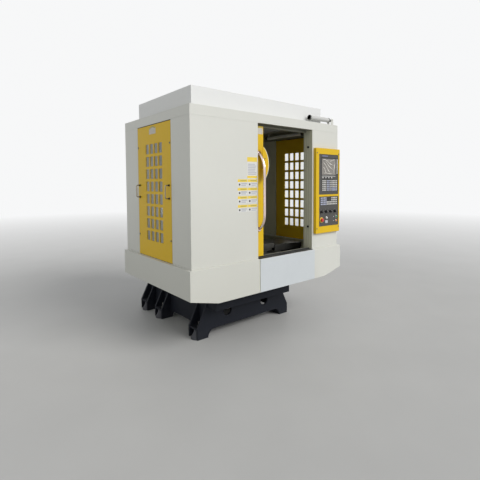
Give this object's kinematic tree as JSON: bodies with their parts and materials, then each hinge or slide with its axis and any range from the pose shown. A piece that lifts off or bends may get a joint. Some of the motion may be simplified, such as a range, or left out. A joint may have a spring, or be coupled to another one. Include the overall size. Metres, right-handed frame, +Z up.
{
  "type": "cnc machining center",
  "caption": "Enclosed vertical machining centre on a cast bed, with a sliding door, three linear axes, a spindle, a tool magazine and a front control box.",
  "frame": {"origin": "floor level, midway between the four corner levelling holes of the bed", "axes": "+X to the right seen from the front, +Y to the back, +Z up; the spindle axis lies in the plane X = 0"},
  "size_m": [2.011, 2.0055, 2.272],
  "materials": {
    "cast_black": "satin blue-black paint",
    "cast_grey": "satin pale paint",
    "table_iron": "ground and oiled",
    "ground_steel": "ground",
    "motor_black": "satin",
    "way_cover_steel": "brushed, oily",
    "panel_white": "fine powder coat",
    "sill_silver": "satin",
    "panel_yellow": "gloss powder coat",
    "window_sheet": "clear",
    "handle_metal": "polished",
    "handle_chrome": "polished",
    "header_grey": "satin",
    "bumper_rubber": "matte",
    "control_dark": "fine grain",
    "screen_dark": "gloss",
    "red_plastic": "gloss",
    "green_plastic": "gloss",
    "orange_plastic": "gloss",
    "white_plastic": "gloss",
    "knob_black": "matte",
    "lamp_tube": "diffuse",
    "lamp_grey": "satin"
  },
  "bodies": {
    "machine": {"bed_casting": "cast_black", "column_casting": "cast_grey", "fixed_rails": "ground_steel", "axis_motors": "motor_black", "fixed_way_covers": "way_cover_steel", "magazine_bracket": "cast_grey", "chip_pan": "panel_white", "front_sill_panel": "sill_silver", "front_left_panel": "panel_white", "right_front_panel": "panel_white", "left_rear_panel": "panel_white", "right_rear_panel": "panel_white", "roof_cover": "panel_white", "roof_hood": "panel_white", "access_panel_left": "panel_yellow", "access_panel_right": "panel_yellow", "glazing": "window_sheet", "panel_handles": "handle_metal", "door_rail": "header_grey", "door_bumpers": "bumper_rubber", "control_box": "panel_yellow", "control_panels": "control_dark", "screen": "screen_dark", "work_lamp": "lamp_tube", "electrical_cabinet": "panel_white", "lubrication_unit": "white_plastic"},
    "saddle": {"saddle": "cast_grey", "x_rails": "ground_steel", "x_motor": "motor_black", "saddle_covers": "way_cover_steel"},
    "table": {"table": "table_iron", "x_cover_inner": "way_cover_steel"},
    "head": {"spindle_head": "cast_grey", "spindle_motor": "motor_black", "spindle_housing": "ground_steel"},
    "spindle": {"spindle": "ground_steel"},
    "x_screw": {"x_screw": "ground_steel"},
    "y_screw": {"y_screw": "ground_steel"},
    "z_screw": {"z_screw": "ground_steel"},
    "x_cover_second": {"x_cover_second": "way_cover_steel"},
    "x_cover_third": {"x_cover_third": "way_cover_steel"},
    "y_cover_second": {"y_cover_second": "way_cover_steel"},
    "magazine_carriage": {"magazine_carriage": "cast_grey"},
    "magazine_disc": {"magazine_disc": "ground_steel", "tool_holders": "ground_steel"},
    "door": {"door_leaf": "panel_yellow", "door_window": "window_sheet", "door_grip_plate": "panel_yellow", "door_handle": "handle_chrome"},
    "estop_button": {"estop_button": "red_plastic"},
    "green_button": {"green_button": "green_plastic"},
    "orange_button": {"orange_button": "orange_plastic"},
    "white_button": {"white_button": "white_plastic"},
    "selector_1": {"selector_1": "knob_black"},
    "selector_2": {"selector_2": "knob_black"},
    "selector_3": {"selector_3": "knob_black"},
    "selector_4": {"selector_4": "knob_black"},
    "signal_lamp": {"signal_lamp": "lamp_grey"},
    "electrical_door": {"electrical_door": "panel_white"},
    "main_switch": {"main_switch": "red_plastic"}
  },
  "joints": [
    {"name": "y_axis", "type": "slide", "parent": "machine", "child": "saddle", "axis": [0, 1, 0], "range_m": [-0.03, 0.37]},
    {"name": "x_axis", "type": "slide", "parent": "saddle", "child": "table", "axis": [1, 0, 0], "range_m": [-0.25, 0.25]},
    {"name": "z_axis", "type": "slide", "parent": "machine", "child": "head", "axis": [0, 0, 1], "range_m": [-0.25, 0.08]},
    {"name": "y_screw_turn", "type": "hinge", "parent": "machine", "child": "y_screw", "pos_m": [0, -0.3, 0.575], "axis": [0, 1, 0], "range_deg": [-901, 11101]},
    {"name": "x_screw_turn", "type": "hinge", "parent": "saddle", "child": "x_screw", "pos_m": [0, -0.47, 0.716], "axis": [1, 0, 0], "range_deg": [-7501, 7501]},
    {"name": "z_screw_turn", "type": "hinge", "parent": "machine", "child": "z_screw", "pos_m": [0, 0.096, 1.4], "axis": [0, 0, 1], "range_deg": [-7501, 2401]},
    {"name": "spindle_turn", "type": "hinge", "parent": "head", "child": "spindle", "pos_m": [0, -0.3, 1.4], "axis": [0, 0, 1], "continuous": true},
    {"name": "x_cover_second_slide", "type": "slide", "parent": "saddle", "child": "x_cover_second", "axis": [1, 0, 0], "range_m": [-0.1668, 0.1668]},
    {"name": "x_cover_third_slide", "type": "slide", "parent": "saddle", "child": "x_cover_third", "axis": [1, 0, 0], "range_m": [-0.0834, 0.0834]},
    {"name": "y_cover_second_slide", "type": "slide", "parent": "machine", "child": "y_cover_second", "axis": [0, 1, 0], "range_m": [-0.0151, 0.1851]},
    {"name": "magazine_slide", "type": "slide", "parent": "machine", "child": "magazine_carriage", "axis": [1, 0, 0], "range_m": [0, 0.29]},
    {"name": "magazine_turn", "type": "hinge", "parent": "magazine_carriage", "child": "magazine_disc", "pos_m": [-0.52, -0.3, 1.25], "axis": [0, 0, 1], "continuous": true},
    {"name": "door_slide", "type": "slide", "parent": "machine", "child": "door", "axis": [1, 0, 0], "range_m": [0, 0.659]},
    {"name": "estop_press", "type": "slide", "parent": "machine", "child": "estop_button", "axis": [0, 1, 0], "range_m": [0, 0.006], "stiffness_N_per_m": 900},
    {"name": "green_press", "type": "slide", "parent": "machine", "child": "green_button", "axis": [0, 1, 0], "range_m": [0, 0.004], "stiffness_N_per_m": 500},
    {"name": "orange_press", "type": "slide", "parent": "machine", "child": "orange_button", "axis": [0, 1, 0], "range_m": [0, 0.004], "stiffness_N_per_m": 500},
    {"name": "white_press", "type": "slide", "parent": "machine", "child": "white_button", "axis": [0, 1, 0], "range_m": [0, 0.004], "stiffness_N_per_m": 500},
    {"name": "selector_1_turn", "type": "hinge", "parent": "machine", "child": "selector_1", "pos_m": [0.742, -0.958, 1.154], "axis": [0, 1, 0], "range_deg": [-135, 135]},
    {"name": "selector_2_turn", "type": "hinge", "parent": "machine", "child": "selector_2", "pos_m": [0.818, -0.958, 1.154], "axis": [0, 1, 0], "range_deg": [-135, 135]},
    {"name": "selector_3_turn", "type": "hinge", "parent": "machine", "child": "selector_3", "pos_m": [0.894, -0.958, 1.154], "axis": [0, 1, 0], "range_deg": [-60, 60]},
    {"name": "selector_4_turn", "type": "hinge", "parent": "machine", "child": "selector_4", "pos_m": [0.97, -0.958, 1.154], "axis": [0, 1, 0], "range_deg": [-60, 60]},
    {"name": "signal_lamp_fold", "type": "hinge", "parent": "machine", "child": "signal_lamp", "pos_m": [0.992, -0.88, 2.154], "axis": [0, 1, 0], "range_deg": [0, 90]},
    {"name": "electrical_door_swing", "type": "hinge", "parent": "machine", "child": "electrical_door", "pos_m": [-0.324, 0.973, 1.3], "axis": [0, 0, 1], "range_deg": [0, 110]},
    {"name": "main_switch_turn", "type": "hinge", "parent": "electrical_door", "child": "main_switch", "pos_m": [0.44, 0.982, 1.5], "axis": [0, 1, 0], "range_deg": [0, 90]}
  ],
  "couplings": [
    {"joint": "y_screw_turn", "follows": "y_axis", "rad_per_m": 523.6},
    {"joint": "x_screw_turn", "follows": "x_axis", "rad_per_m": 523.6},
    {"joint": "z_screw_turn", "follows": "z_axis", "rad_per_m": 523.6},
    {"joint": "x_cover_second_slide", "follows": "x_axis", "ratio": 0.66667},
    {"joint": "x_cover_third_slide", "follows": "x_axis", "ratio": 0.33333},
    {"joint": "y_cover_second_slide", "follows": "y_axis", "ratio": 0.5}
  ]
}
